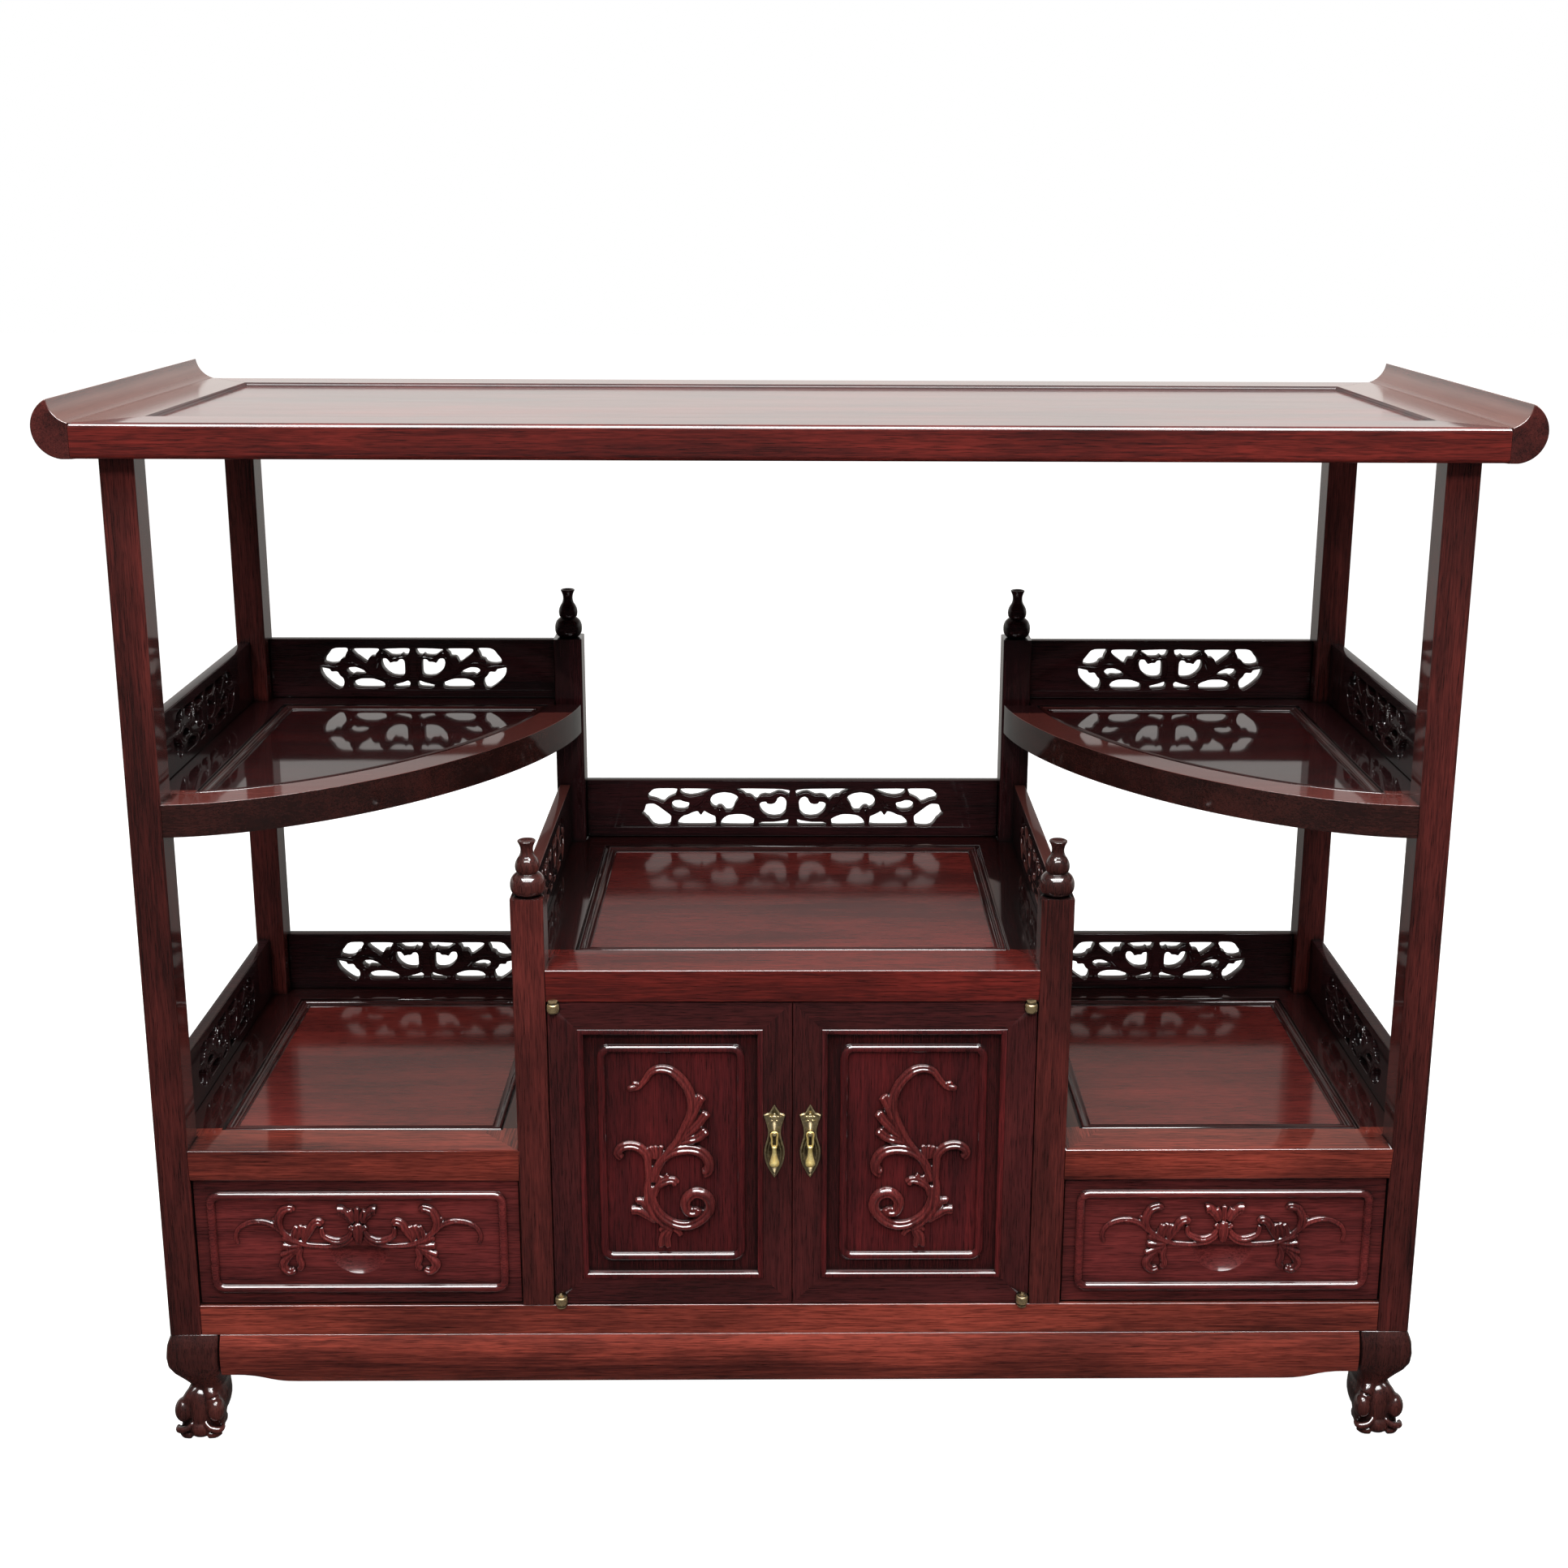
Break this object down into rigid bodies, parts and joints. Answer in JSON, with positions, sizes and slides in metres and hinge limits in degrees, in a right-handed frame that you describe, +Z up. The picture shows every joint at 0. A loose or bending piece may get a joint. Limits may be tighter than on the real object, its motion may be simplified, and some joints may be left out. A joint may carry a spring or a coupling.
{
  "type": "display cabinet",
  "caption": "Stepped display cabinet: long top with scroll ends, quarter-round shelves with pierced galleries, a cupboard with hinged doors between drawers, on claw feet.",
  "frame": {"origin": "on the floor, under the middle of the cabinet's box", "axes": "+X to the viewer's right along the length, +Y to the back, +Z up; the doors face -Y"},
  "size_m": [1.185, 0.392, 0.931],
  "materials": {
    "rosewood_rail": "clear lacquer over red-brown wood, fine grain along the rail",
    "rosewood_post": "clear lacquer over dark red-brown wood",
    "rosewood_panel": "polished lacquer over deep wine-red wood",
    "dark_rosewood": "polished lacquer over nearly black wood",
    "inner_wood": "plain wood, lightly sealed",
    "aged_brass": "aged, rubbed bright on the high points"
  },
  "bodies": {
    "carcass": {"aprons": "rosewood_rail", "back_boards": "inner_wood", "back_left_finial": "dark_rosewood", "back_left_leg": "rosewood_post", "back_left_post": "rosewood_post", "back_right_finial": "dark_rosewood", "back_right_leg": "rosewood_post", "back_right_post": "rosewood_post", "bottom_board": "inner_wood", "bottom_frame": "rosewood_rail", "drawer_runners": "inner_wood", "front_left_finial": "rosewood_rail", "front_left_leg": "rosewood_post", "front_left_post": "rosewood_post", "front_right_finial": "rosewood_rail", "front_right_leg": "rosewood_post", "front_right_post": "rosewood_post", "hinge_plates": "aged_brass", "inner_back_left_post": "rosewood_post", "inner_back_right_post": "rosewood_post", "inner_front_left_post": "rosewood_post", "inner_front_right_post": "rosewood_post", "left_fan_frame": "rosewood_rail", "left_fan_gallery": "dark_rosewood", "left_fan_panel": "rosewood_panel", "left_lower_gallery": "dark_rosewood", "left_scroll_end": "rosewood_rail", "left_shelf_frame": "rosewood_rail", "left_shelf_panel": "rosewood_panel", "middle_back_gallery": "dark_rosewood", "middle_side_galleries": "dark_rosewood", "middle_top_frame": "rosewood_rail", "middle_top_panel": "rosewood_panel", "partitions": "rosewood_panel", "right_fan_frame": "rosewood_rail", "right_fan_gallery": "dark_rosewood", "right_fan_panel": "rosewood_panel", "right_lower_gallery": "dark_rosewood", "right_scroll_end": "rosewood_rail", "right_shelf_frame": "rosewood_rail", "right_shelf_panel": "rosewood_panel", "side_walls": "rosewood_panel", "top_back_rail": "rosewood_rail", "top_end_rails": "rosewood_rail", "top_front_rail": "rosewood_rail", "top_panel": "rosewood_panel"},
    "left_door": {"left_door_frame": "rosewood_rail", "left_door_panel": "rosewood_panel", "left_door_knuckles": "aged_brass", "left_pull_plate": "aged_brass"},
    "left_pull": {"left_pull_drop": "aged_brass"},
    "left_drawer": {"left_drawer_front": "rosewood_rail", "left_drawer_box": "inner_wood"},
    "right_door": {"right_door_frame": "rosewood_rail", "right_door_panel": "rosewood_panel", "right_door_knuckles": "aged_brass", "right_pull_plate": "aged_brass"},
    "right_pull": {"right_pull_drop": "aged_brass"},
    "right_drawer": {"right_drawer_front": "rosewood_rail", "right_drawer_box": "inner_wood"}
  },
  "joints": [
    {"name": "left_door_hinge", "type": "hinge", "parent": "carcass", "child": "left_door", "pos_m": [-0.2035, -0.1745, 0.27625], "axis": [0, 0, -1], "range_deg": [0, 90]},
    {"name": "left_pull_hinge", "type": "hinge", "parent": "left_door", "child": "left_pull", "pos_m": [-0.0155, -0.1809, 0.301], "axis": [-1, 0, 0], "range_deg": [0, 80]},
    {"name": "left_drawer_slide", "type": "slide", "parent": "carcass", "child": "left_drawer", "axis": [0, -1, 0], "range_m": [0, 0.23]},
    {"name": "right_door_hinge", "type": "hinge", "parent": "carcass", "child": "right_door", "pos_m": [0.2035, -0.1745, 0.27625], "axis": [0, 0, 1], "range_deg": [0, 90]},
    {"name": "right_pull_hinge", "type": "hinge", "parent": "right_door", "child": "right_pull", "pos_m": [0.0155, -0.1809, 0.301], "axis": [-1, 0, 0], "range_deg": [0, 80]},
    {"name": "right_drawer_slide", "type": "slide", "parent": "carcass", "child": "right_drawer", "axis": [0, -1, 0], "range_m": [0, 0.23]}
  ]
}
